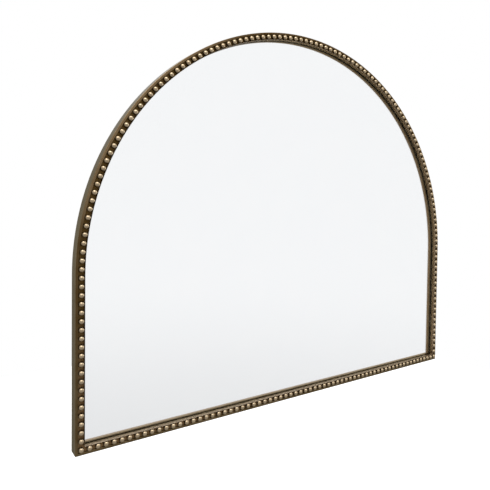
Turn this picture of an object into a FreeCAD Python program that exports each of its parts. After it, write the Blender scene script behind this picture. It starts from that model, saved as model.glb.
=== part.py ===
# Arched wall mirror in a beaded metal frame, in millimetres.
# X runs along the width, Y towards the wall and Z up. The wall plane is y = 0.
# The origin is on the wall plane, midway between the two hooks that the raised rings hang on.
import FreeCAD
import Part
import math
import os

Vector = FreeCAD.Vector

# Overall
overall_width = 1143.0
overall_height = 926.0
frame_depth = 29.0
cut_overrun = 5.0

# Beading
bead_diameter = 11.6
bead_side_gap = 0.1
bead_lift = 1.2
bead_sides = 6
bead_foot_share = 0.92
bead_shoulder_share = 0.96
bead_shoulder_rise_share = 0.4
bead_crown_share = 0.36
carrier_thickness = 1.0
arch_bead_pitch = 17.0
rail_bead_pitch = 16.5

# Frame moulding, one section for the stiles, the arch and the bottom rail
outer_wall = 5.4
inner_wall = 1.0
inner_lip_rise = 3.5
trough_depth = 4.0
trough_floor = 1.2
outer_rim_bevel = 1.0
inner_rim_bevel = 0.4
seat_thickness = 1.0
seat_width = 4.5

# Glass, board and the tapes that bed them
glass_recess = 9.0
glass_thickness = 4.0
glass_edge_gap = 1.5
glazing_tape_thickness = 0.5
glazing_tape_width = 3.6
glazing_tape_setback = 0.4
foam_thickness = 1.0
foam_width = 25.0
foam_edge_margin = 60.0
foam_place_shares = (-0.72, -0.36, 0, 0.36, 0.72)
board_thickness = 6.0
board_edge_gap = 1.0

# Folded tabs that hold the board in the frame
tab_width = 22.0
tab_thickness = 1.5
tab_board_leg = 17.0
tab_wall_leg = 8.0
tab_bend = 1.0
stile_tab_shares = (0.5, 0.88)
rail_tab_shares = (-0.64, -0.32, 0, 0.32, 0.64)
arch_tab_count = 9

# Gusset plates across the two mitres
gusset_leg = 84.0
gusset_thickness = 1.5
gusset_nose = 12.0

# Hanger screws, plain pan heads on plain shanks
screw_radius = 1.5
screw_length = 8.0
screw_hole_gap = 0.2
screw_head_radius = 3.2
screw_head_top_radius = 2.2
screw_head_height = 1.8
screw_tip_gap = 0.2
screw_sides = 8

# Hanger plates, straps and rings
hook_inset = 191.5
plate_tab_gap = 27.7
plate_width = 50.0
plate_height = 120.0
plate_thickness = 2.0
plate_corner_cut = 5.0
plate_hole_inset = 8.0
strap_width = 12.0
strap_sheet = 1.0
strap_length = 42.0
strap_fold = 14.0
strap_eye_lift = 0.5
strap_end_cut = 3.5
strap_upper_hole = 9.0
strap_lower_hole = 34.0
ring_wire_radius = 1.5
ring_eye_clearance = 0.06
ring_width = 20.0
ring_reach = 24.0
ring_corner_radius = 3.5
ring_corner_steps = 2
ring_bow_steps = 10
ring_wire_sides = 8

# Rubber bumpers between the mirror and the wall
bumper_stand = 1.5
bumper_base_radius = 9.0
bumper_face_radius = 8.0
bumper_sides = 16
bumper_plate_inset = 14.0
bumper_in_corner = 26.0

# Places worked out from the sizes above
trough_side = bead_diameter / 2 + bead_side_gap
outer_face = trough_side + outer_wall
inner_face = -trough_side - inner_wall
bead_half_width = overall_width / 2 - outer_face
floor_back = trough_depth + trough_floor
carrier_front = trough_depth - carrier_thickness
seat_back = glass_recess - glazing_tape_thickness
seat_front = seat_back - seat_thickness
seat_edge = inner_face + seat_width
glass_back = glass_recess + glass_thickness
board_front = glass_back + foam_thickness
board_back = board_front + board_thickness
wall_depth = frame_depth + bumper_stand
plate_back = board_back + plate_thickness
eye_radius = ring_wire_radius + ring_eye_clearance
eye_depth = plate_back + strap_sheet + strap_eye_lift + eye_radius
eye_z = ring_wire_radius - ring_reach
plate_top_z = eye_z + plate_height / 2
hook_x = overall_width / 2 - hook_inset

# The spring line is where each hanger plate's upper corner keeps its gap to the arch tabs
plate_corner_reach = bead_half_width + trough_side - tab_board_leg - plate_tab_gap
spring_z = plate_top_z - math.sqrt(plate_corner_reach ** 2 - (hook_x + plate_width / 2) ** 2)
bottom_edge_z = spring_z - (overall_height - overall_width / 2)
bead_line_z = bottom_edge_z + outer_face


def y_at(depth):
    """Y of a depth counted backwards from the plane of the front rims."""
    return depth - wall_depth


def closed_face(points):
    """Flat face inside a closed run of straight edges."""
    return Part.Face(Part.makePolygon(list(points) + [points[0]]))


def moulding_face(at):
    """Section of the frame moulding, where at(offset, depth) puts a point of it in space."""
    return closed_face([
        at(outer_face - outer_rim_bevel, 0),
        at(outer_face, outer_rim_bevel),
        at(outer_face, frame_depth),
        at(trough_side, frame_depth),
        at(trough_side, floor_back),
        at(-trough_side, floor_back),
        at(-trough_side, seat_front),
        at(seat_edge, seat_front),
        at(seat_edge, seat_back),
        at(inner_face, seat_back),
        at(inner_face, inner_rim_bevel - inner_lip_rise),
        at(inner_face + inner_rim_bevel, -inner_lip_rise),
        at(-trough_side, -inner_lip_rise),
        at(-trough_side, trough_depth),
        at(trough_side, trough_depth),
        at(trough_side, 0),
    ])


def carrier_face(at):
    """Section of the thin strip that carries the beads."""
    side = trough_side - bead_side_gap
    return closed_face([
        at(-side, carrier_front),
        at(side, carrier_front),
        at(side, trough_depth),
        at(-side, trough_depth),
    ])


def flat_sided(rings):
    """Solid of flat faces between rings of equally many points, closed by its first and last ring."""
    faces = [closed_face(rings[0]), closed_face(rings[-1])]
    for near, far in zip(rings, rings[1:]):
        for index in range(len(near)):
            faces.append(closed_face([near[index - 1], near[index], far[index], far[index - 1]]))
    return Part.makeSolid(Part.makeShell(faces))


def turning(profile, sides):
    """Many sided turning round the Y axis from a profile of (radius, depth) pairs."""
    spokes = [2 * math.pi * (index + 0.5) / sides for index in range(sides)]
    return flat_sided([
        [Vector(radius * math.cos(angle), y_at(depth), radius * math.sin(angle)) for angle in spokes]
        for radius, depth in profile
    ])


def mitre_wedge(side, above):
    """Triangular prism that trims a mitre on one side, from above or below its plane."""
    reach = outer_face + cut_overrun
    x = bead_half_width
    z = bead_line_z
    outside = Vector(side * (x + reach), y_at(-cut_overrun), z - reach)
    inside = Vector(side * (x - reach), y_at(-cut_overrun), z + reach)
    third_x = x + reach if above else x - reach
    third_z = z + reach if above else z - reach
    third = Vector(side * third_x, y_at(-cut_overrun), third_z)
    return closed_face([outside, inside, third]).extrude(Vector(0, frame_depth + 2 * cut_overrun, 0))


def along_arch(section):
    """Sweeps a section up one stile, round the arch and down the other, mitred at both feet."""
    parts = []
    for side in (-1, 1):
        foot = section(lambda offset, depth: Vector(side * (bead_half_width + offset), y_at(depth), bottom_edge_z))
        stile = foot.extrude(Vector(0, 0, spring_z - bottom_edge_z))
        parts.append(stile.cut(mitre_wedge(side, False)))
    spring = section(lambda offset, depth: Vector(bead_half_width + offset, y_at(depth), spring_z))
    parts.append(spring.revolve(Vector(0, 0, spring_z), Vector(0, -1, 0), 180))
    return parts[0].multiFuse(parts[1:]).removeSplitter()


def along_rail(section):
    """Sweeps a section along the bottom rail, mitred at both ends."""
    end = section(lambda offset, depth: Vector(-overall_width / 2, y_at(depth), bead_line_z - offset))
    rail = end.extrude(Vector(overall_width, 0, 0))
    return rail.cut([mitre_wedge(-1, True), mitre_wedge(1, True)])


def arched_plate(offset, front, back):
    """Flat sheet with the arch's outline at an offset from the bead line."""
    half = bead_half_width + offset
    foot_z = bead_line_z - offset
    y = y_at(front)
    left_foot = Vector(-half, y, foot_z)
    right_foot = Vector(half, y, foot_z)
    right_spring = Vector(half, y, spring_z)
    left_spring = Vector(-half, y, spring_z)
    crown = Part.Arc(right_spring, Vector(0, y, spring_z + half), left_spring).toShape()
    sides = Part.makePolygon([left_spring, left_foot, right_foot, right_spring])
    return Part.Face(Part.Wire(sides.Edges + [crown])).extrude(Vector(0, back - front, 0))


def bead_dome():
    """One domed bead at the origin: a foot on its carrier, a shoulder before the rims and a small crown."""
    radius = bead_diameter / 2
    profile = [
        (bead_foot_share * radius, carrier_front),
        (bead_shoulder_share * radius, -bead_lift - bead_shoulder_rise_share * radius),
        (bead_crown_share * radius, -bead_lift - radius),
    ]
    return turning(profile, bead_sides)


def arch_bead_places():
    """Centres of the beads up a stile, round the arch and down again, without the two corners."""
    stile = spring_z - bead_line_z
    arc = math.pi * bead_half_width
    total = 2 * stile + arc
    spaces = round(total / arch_bead_pitch)
    places = []
    for index in range(1, spaces):
        run = total * index / spaces
        if run < stile:
            places.append((-bead_half_width, bead_line_z + run))
        elif run > stile + arc:
            places.append((bead_half_width, bead_line_z + total - run))
        else:
            turn = (run - stile) / bead_half_width
            places.append((-bead_half_width * math.cos(turn), spring_z + bead_half_width * math.sin(turn)))
    return places


def rail_bead_places():
    """Centres of the beads along the bottom rail, with one in each corner."""
    length = 2 * bead_half_width
    spaces = round(length / rail_bead_pitch)
    return [(-bead_half_width + length * index / spaces, bead_line_z) for index in range(spaces + 1)]


def beaded(carrier, places):
    """Carrier strip with its beads."""
    dome = bead_dome()
    return carrier.multiFuse([turned(dome, x, z, 0) for x, z in places])


def glazing_tape():
    """Closed loop of foam tape between the seat and the front of the glass."""
    inner = inner_face + glazing_tape_setback
    outer = inner + glazing_tape_width
    loop = arched_plate(outer, seat_back, glass_recess)
    return loop.cut(arched_plate(inner, seat_back - cut_overrun, glass_recess + cut_overrun))


def foam_strips():
    """Upright foam strips between the glass and the board, each as long as the arch allows."""
    strips = []
    bottom = bead_line_z + foam_edge_margin
    for share in foam_place_shares:
        centre = share * bead_half_width
        far_edge = abs(centre) + foam_width / 2
        top = spring_z + math.sqrt(bead_half_width ** 2 - far_edge ** 2) - foam_edge_margin
        corner = Vector(centre - foam_width / 2, y_at(glass_back), bottom)
        strips.append(Part.makeBox(foam_width, foam_thickness, top - bottom, corner))
    return Part.makeCompound(strips)


def tab_places():
    """Foot of each tab on the inside of the outer wall, with its turn about Y, by zone."""
    half = bead_half_width + trough_side
    stile = spring_z - bead_line_z
    zones = {
        "left_stile_tabs": [(-half, bead_line_z + share * stile, 90) for share in stile_tab_shares],
        "right_stile_tabs": [(half, bead_line_z + share * stile, -90) for share in stile_tab_shares],
        "bottom_rail_tabs": [(share * half, bead_line_z - trough_side, 0) for share in rail_tab_shares],
        "arch_tabs": [],
    }
    wall_radius = math.sqrt(half ** 2 - (tab_width / 2) ** 2)
    for index in range(arch_tab_count):
        angle = math.pi * (index + 0.5) / arch_tab_count
        turn = math.degrees(math.atan2(-math.cos(angle), -math.sin(angle)))
        zones["arch_tabs"].append((wall_radius * math.cos(angle), spring_z + wall_radius * math.sin(angle), turn))
    return zones


def turned(shape, x, z, turn):
    """Copy of a shape made at the origin with +Z inwards, turned about Y and put at a foot."""
    copy = shape.copy()
    copy.rotate(Vector(0, 0, 0), Vector(0, 1, 0), turn)
    copy.translate(Vector(x, 0, z))
    return copy


def screw_hole(front, back):
    """Cutter for a screw's clearance hole, along Y at the origin."""
    radius = screw_radius + screw_hole_gap
    return turning([(radius, front), (radius, back)], screw_sides)


def hanger_screw(seat):
    """Pan head screw at the origin, its head on the depth of its seat and its shank forwards."""
    profile = [
        (screw_radius, seat - screw_length),
        (screw_radius, seat),
        (screw_head_radius, seat),
        (screw_head_top_radius, seat + screw_head_height),
    ]
    return turning(profile, screw_sides)


def board_tab():
    """Folded steel tab: one leg flat on the board, the other up the outer wall, its bend bevelled."""
    left = -tab_width / 2
    outside = tab_thickness + tab_bend
    outline = [
        (board_back, outside),
        (board_back, tab_board_leg),
        (board_back + tab_thickness, tab_board_leg),
        (board_back + tab_thickness, tab_thickness + tab_bend),
        (board_back + tab_thickness + tab_bend, tab_thickness),
        (board_back + tab_wall_leg, tab_thickness),
        (board_back + tab_wall_leg, 0),
        (board_back + outside, 0),
    ]
    face = closed_face([Vector(left, y_at(depth), z) for depth, z in outline])
    return face.extrude(Vector(tab_width, 0, 0))


def tab_group(places):
    """All tabs of one zone as separate solids."""
    return Part.makeCompound([turned(board_tab(), x, z, turn) for x, z, turn in places])


def bumper_place(side):
    """Axis of the lower bumper, on the gusset's middle line."""
    corner_x = bead_half_width + trough_side
    corner_z = bead_line_z - trough_side
    return side * (corner_x - bumper_in_corner), corner_z + bumper_in_corner


def gusset(side):
    """Triangular plate across a mitre, its legs against the outer walls and its long side cut straight."""
    corner_x = bead_half_width + trough_side
    corner_z = bead_line_z - trough_side
    outline = [
        (0, 0),
        (gusset_leg, 0),
        (gusset_leg, gusset_nose),
        (gusset_nose, gusset_leg),
        (0, gusset_leg),
    ]
    face = closed_face([Vector(side * (corner_x - dx), y_at(board_back), corner_z + dz) for dx, dz in outline])
    return face.extrude(Vector(0, gusset_thickness, 0))


def plate_screw_places(side):
    """Axes of the four screws in the hanger plate's corners."""
    dx = plate_width / 2 - plate_hole_inset
    dz = plate_height / 2 - plate_hole_inset
    return [(side * hook_x + i * dx, eye_z + k * dz) for i in (-1, 1) for k in (-1, 1)]


def strap_screw_places(side):
    """Axes of the strap's two screws."""
    return [(side * hook_x, eye_z - strap_upper_hole), (side * hook_x, eye_z - strap_lower_hole)]


def hanger_plate(side):
    """Steel plate on the board behind one strap, with cut corners."""
    corner = Vector(side * hook_x - plate_width / 2, y_at(board_back), eye_z - plate_height / 2)
    plate = Part.makeBox(plate_width, plate_thickness, plate_height, corner)
    upright = [edge for edge in plate.Edges if abs(edge.tangentAt(edge.FirstParameter).y) > 0.5]
    plate = plate.makeChamfer(plate_corner_cut, upright)
    hole = screw_hole(board_back - cut_overrun, plate_back + cut_overrun)
    places = plate_screw_places(side) + strap_screw_places(side)
    return plate.cut([turned(hole, x, z, 0) for x, z in places])


def hanger_strap(side):
    """Sheet strap folded round the ring's bar: a long lower leaf, a short upper leaf and the eye."""
    left = side * hook_x - strap_width / 2
    leaf = Part.makeBox(strap_width, strap_sheet, strap_length, Vector(left, y_at(plate_back), eye_z - strap_length))
    ends = [edge for edge in leaf.Edges if abs(edge.tangentAt(edge.FirstParameter).y) > 0.5
            and edge.CenterOfMass.z < eye_z - strap_length / 2]
    leaf = leaf.makeChamfer(strap_end_cut, ends)
    fold_y = y_at(plate_back + strap_sheet)
    fold = Part.makeBox(strap_width, strap_sheet, strap_fold, Vector(left, fold_y, eye_z - strap_fold))
    centre = Vector(left, y_at(eye_depth), eye_z)
    barrel = Part.makeCylinder(eye_radius + strap_sheet, strap_width, centre, Vector(1, 0, 0))
    bore = Part.makeCylinder(eye_radius, strap_width + 2 * cut_overrun, centre - Vector(cut_overrun, 0, 0), Vector(1, 0, 0))
    strap = leaf.multiFuse([fold, barrel]).removeSplitter()
    hole = screw_hole(plate_back - cut_overrun, plate_back + cut_overrun)
    return strap.cut([bore] + [turned(hole, x, z, 0) for x, z in strap_screw_places(side)])


def ring_path(side):
    """Middle line of the wire: the bar's two rounded corners, then the round bow, as one closed run."""
    half = ring_width / 2
    corner = ring_corner_radius
    bends = [
        (half - corner, eye_z - corner, corner, 90, 0, ring_corner_steps),
        (0, eye_z - ring_reach + half, half, 0, -180, ring_bow_steps),
        (-half + corner, eye_z - corner, corner, 180, 90, ring_corner_steps),
    ]
    path = []
    for dx, z, radius, start, end, steps in bends:
        for step in range(steps + 1):
            angle = math.radians(start + (end - start) * step / steps)
            path.append((side * hook_x + dx + radius * math.cos(angle), z + radius * math.sin(angle)))
    return path


def d_ring(side):
    """Closed wire ring: a straight bar in the eye, two rounded corners, two legs and a round bow."""
    path = [Vector(x, y_at(eye_depth), z) for x, z in ring_path(side)]
    spokes = [2 * math.pi * (index + 0.5) / ring_wire_sides for index in range(ring_wire_sides)]
    middle = (path[0] + path[-1]) * 0.5
    section = [middle + Vector(0, ring_wire_radius * math.cos(angle), ring_wire_radius * math.sin(angle))
               for angle in spokes]
    run = Part.makePolygon([middle] + path + [middle])
    return run.makePipeShell([Part.makePolygon(section + section[:1])], True, False, 1)


def bumper(x, z, seat):
    """Round rubber pad from its seat to the wall, slightly tapered."""
    pad = turning([(bumper_base_radius, seat), (bumper_face_radius, wall_depth)], bumper_sides)
    return turned(pad, x, z, 0)


def upper_bumper_place(side):
    """Axis of the upper bumper, at the top of the hanger plate and above the raised ring."""
    return side * hook_x, plate_top_z - bumper_plate_inset


def backing_board():
    """Arched board with a blind pilot hole for every hanger screw."""
    board = arched_plate(trough_side - board_edge_gap, board_front, board_back)
    places = []
    for side in (-1, 1):
        places = places + plate_screw_places(side) + strap_screw_places(side)
    pilot = screw_hole(plate_back - screw_length - screw_tip_gap, board_back + cut_overrun)
    return board.cut([turned(pilot, x, z, 0) for x, z in places])


def plate_screws(side):
    """The four screws in a hanger plate's corners."""
    screw = hanger_screw(plate_back)
    return Part.makeCompound([turned(screw, x, z, 0) for x, z in plate_screw_places(side)])


def strap_screws(side):
    """The strap's two screws: the upper one on both leaves, the lower one on the long leaf."""
    upper, lower = strap_screw_places(side)
    on_fold = turned(hanger_screw(plate_back + 2 * strap_sheet), upper[0], upper[1], 0)
    on_leaf = turned(hanger_screw(plate_back + strap_sheet), lower[0], lower[1], 0)
    return Part.makeCompound([on_fold, on_leaf])


def all_nodes():
    """Every piece of the mirror by its node's name."""
    nodes = {
        "arch_frame_bar": along_arch(moulding_face),
        "bottom_frame_rail": along_rail(moulding_face),
        "arch_bead_strip": beaded(along_arch(carrier_face), arch_bead_places()),
        "bottom_bead_strip": beaded(along_rail(carrier_face), rail_bead_places()),
        "glazing_tape": glazing_tape(),
        "mirror_glass": arched_plate(trough_side - glass_edge_gap, glass_recess, glass_back),
        "foam_tape_strips": foam_strips(),
        "backing_board": backing_board(),
    }
    for name, places in tab_places().items():
        nodes[name] = tab_group(places)
    for label, side in (("left", -1), ("right", 1)):
        nodes[label + "_corner_gusset"] = gusset(side)
        nodes[label + "_hanger_plate"] = hanger_plate(side)
        nodes[label + "_plate_screws"] = plate_screws(side)
        nodes[label + "_hanger_strap"] = hanger_strap(side)
        nodes[label + "_strap_screws"] = strap_screws(side)
        nodes[label + "_d_ring"] = d_ring(side)
        nodes["lower_" + label + "_bumper"] = bumper(*bumper_place(side), board_back + gusset_thickness)
        nodes["upper_" + label + "_bumper"] = bumper(*upper_bumper_place(side), plate_back)
    return nodes


os.makedirs("parts", exist_ok=True)
for node, shape in all_nodes().items():
    shape.exportStep("parts/" + node + ".step")
    box = shape.BoundBox
    print(node, len(shape.Solids), "solids", round(shape.Volume), "mm3", "valid" if shape.isValid() else "INVALID",
          [round(value, 1) for value in (box.XMin, box.XMax, box.YMin, box.YMax, box.ZMin, box.ZMax)])
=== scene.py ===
"""Wide arched wall mirror in a beaded antique bronze frame, dressed over its solids.

Lengths are in millimetres until they reach a mesh. X runs along the width, Y towards the wall and Z up.
"""
import logging
import math
from collections.abc import Callable
from dataclasses import dataclass
from enum import Enum

import bmesh
import bpy
from mathutils import Matrix, Vector

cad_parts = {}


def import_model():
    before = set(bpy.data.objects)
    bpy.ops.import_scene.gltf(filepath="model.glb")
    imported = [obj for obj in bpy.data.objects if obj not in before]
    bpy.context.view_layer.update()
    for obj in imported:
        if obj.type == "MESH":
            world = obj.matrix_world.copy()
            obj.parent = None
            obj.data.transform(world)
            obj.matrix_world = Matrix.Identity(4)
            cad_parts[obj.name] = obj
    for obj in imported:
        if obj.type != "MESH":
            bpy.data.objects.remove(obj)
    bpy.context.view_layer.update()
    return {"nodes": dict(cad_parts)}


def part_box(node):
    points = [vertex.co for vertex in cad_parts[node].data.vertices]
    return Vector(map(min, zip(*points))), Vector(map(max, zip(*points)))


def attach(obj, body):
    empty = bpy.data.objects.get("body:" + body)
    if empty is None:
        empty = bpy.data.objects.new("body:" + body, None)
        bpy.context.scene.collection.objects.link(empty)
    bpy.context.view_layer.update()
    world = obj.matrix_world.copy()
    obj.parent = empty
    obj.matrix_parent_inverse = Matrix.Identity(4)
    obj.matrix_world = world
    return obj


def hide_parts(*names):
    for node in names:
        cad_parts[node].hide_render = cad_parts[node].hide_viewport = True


LOG = logging.getLogger("mirror")
MM = 0.001

# Gaps, rises and widths of the moulding's section, as in the solids

SIDE_GAP = 0.1
BEAD_LIFT = 1.2
LIP_RISE = 3.5
BOARD_GAP = 1.0
GLASS_GAP = 1.5
TAPE_SETBACK = 0.4
TAPE_WIDTH = 3.6

# Distances within which two points are one, on a solid's mesh and on a swept bar

SOLID_WELD = 0.001
SWEEP_WELD = 0.002

# Degrees under which a solid's faces are one, and over which its edges are rounded

FLAT_ANGLE = 1.0
SHARP_ANGLE = 38.0

# Steps of a rounded edge, of a bend in the wire and round the wire, and the seed of the beads' sizes

EDGE_STEPS = 2
BEND_STEPS = 6
WIRE_SIDES = 16
BEAD_SEED = 11

Material = bpy.types.Material
Mesh = bpy.types.Mesh
Object = bpy.types.Object
Colour = tuple[float, float, float]
Pair = tuple[float, float]
Triple = tuple[float, float, float]
Noise = tuple[float, float] | tuple[float, float, Triple]
Places = list[tuple[Vector, Vector]]
WHITE: Colour = (1.0, 1.0, 1.0)


class Side(Enum):
    """Left or right half of the mirror, as the viewer sees it."""

    LEFT = -1
    RIGHT = 1

    @property
    def label(self) -> str:
        """Word that the solids' names use for this side."""
        return self.name.lower()


# Node graphs


def operators(operation: str) -> tuple[Callable, Callable]:
    """An operator that adds a Math node, and its reflected form.

    Args:
        operation: Operation of the Math node.

    Returns:
        The method for a wire before another value, and the one for a number before a wire.
    """

    def plain(wire: "Wire", other: "Wire | float") -> "Wire":
        """Wire first."""
        return wire.graph.maths(operation, wire, other)

    def reflected(wire: "Wire", other: float) -> "Wire":
        """Number first."""
        return wire.graph.maths(operation, other, wire)

    return plain, reflected


@dataclass(frozen=True)
class Wire:
    """A node's output that arithmetic extends with Math nodes."""

    graph: "Graph"
    socket: bpy.types.NodeSocket

    __add__, __radd__ = operators("ADD")
    __sub__, __rsub__ = operators("SUBTRACT")
    __mul__, __rmul__ = operators("MULTIPLY")
    __truediv__, __rtruediv__ = operators("DIVIDE")


class Graph:
    """A node tree and the one method that makes its nodes."""

    def __init__(self, tree: bpy.types.NodeTree) -> None:
        """Wrap a node tree."""
        self.tree = tree

    def node(self, kind: str, inputs: dict | None = None, **settings: object) -> bpy.types.Node:
        """Make a node.

        Args:
            kind: Blender's name for the node's type.
            inputs: Value or link of each input, by name or number.
            **settings: Properties of the node, such as a Math node's operation, which are set first.

        Returns:
            The node.
        """
        made = self.tree.nodes.new(kind)
        for name, value in settings.items():
            setattr(made, name, value)
        for key, value in (inputs or {}).items():
            if isinstance(value, Wire):
                self.tree.links.new(value.socket, made.inputs[key])
            else:
                made.inputs[key].default_value = value
        return made

    def wire(self, kind: str, inputs: dict | None = None, output: str | int = 0, **settings: object) -> Wire:
        """Make a node and wrap one of its outputs."""
        return Wire(self, self.node(kind, inputs, **settings).outputs[output])

    def maths(self, operation: str, first: Wire | float, second: Wire | float) -> Wire:
        """Join two values with a Math node."""
        return self.wire("ShaderNodeMath", {0: first, 1: second}, operation=operation)

    def vector_maths(self, operation: str, first: Wire, second: Wire | Triple) -> Wire:
        """Join two vectors with a Vector Math node."""
        return self.wire("ShaderNodeVectorMath", {0: first, 1: second}, operation=operation)

    def coordinate(self, vector: Wire, name: str) -> Wire:
        """The X, Y or Z of a vector."""
        return self.wire("ShaderNodeSeparateXYZ", {0: vector}, name)

    def smooth(self, value: Wire, low: float, high: float) -> Wire:
        """Smooth step from 0 at low to 1 at high; high may be below low."""
        inputs = {"Value": value, "From Min": low, "From Max": high}
        return self.wire("ShaderNodeMapRange", inputs, interpolation_type="SMOOTHSTEP")

    def mirrored(self) -> Wire:
        """1 for a ray that comes by way of mirror, metal or glass, else 0."""
        kinds = ("Is Glossy Ray", "Is Transmission Ray")
        return self.maths("MAXIMUM", *(self.wire("ShaderNodeLightPath", output=kind) for kind in kinds))


class Recipe(Graph):
    """The shader graph of one material; its noises share one fineness."""

    FINENESS = 0.55

    def __init__(self, name: str) -> None:
        """Start an empty material.

        Args:
            name: The material's name.
        """
        self.material = bpy.data.materials.new(name)
        self.material.use_nodes = True
        super().__init__(self.material.node_tree)
        self.tree.nodes.clear()
        self.place = self.wire("ShaderNodeTexCoord", output="Object")

    def axis(self, name: str) -> Wire:
        """One of the Object coordinates, in millimetres."""
        return self.coordinate(self.place, name) / MM

    def noise(self, grain: float, detail: float = 3.0, stretch: Triple | None = None) -> Wire:
        """Soft noise.

        Args:
            grain: Size of a typical blot in millimetres.
            detail: Octaves of finer noise.
            stretch: Multiplier of each axis, for streaks.

        Returns:
            The noise, about 0.5 in the middle.
        """
        place = self.vector_maths("MULTIPLY", self.place, stretch) if stretch else self.place
        values = {"Vector": place, "Scale": 1 / (grain * MM), "Detail": detail, "Roughness": self.FINENESS}
        return self.wire("ShaderNodeTexNoise", values)

    def cells(self, grain: float, output: str = "Distance") -> Wire:
        """Voronoi cells of a size in millimetres."""
        return self.wire("ShaderNodeTexVoronoi", {"Vector": self.place, "Scale": 1 / (grain * MM)}, output)

    def blend(self, factor: Wire | float, first: Wire | Colour, second: Wire | Colour) -> Wire:
        """Colour between two colours."""
        ends = [end if isinstance(end, Wire) else (*end, 1.0) for end in (first, second)]
        return self.wire("ShaderNodeMix", {0: factor, 6: ends[0], 7: ends[1]}, 2, data_type="RGBA")

    def bump(self, height: Wire, depth: float) -> Wire:
        """Normal from a height of 0 to 1 over a depth in millimetres."""
        return self.wire("ShaderNodeBump", {"Height": height, "Strength": 1.0, "Distance": depth * MM})

    def finish(self, inputs: dict) -> Material:
        """End the material in a Principled shader.

        Args:
            inputs: Value or link of each input that isn't left as it is.

        Returns:
            The material.
        """
        shader = self.wire("ShaderNodeBsdfPrincipled", inputs)
        self.node("ShaderNodeOutputMaterial", {"Surface": shader})
        return self.material


# Finishes


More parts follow.
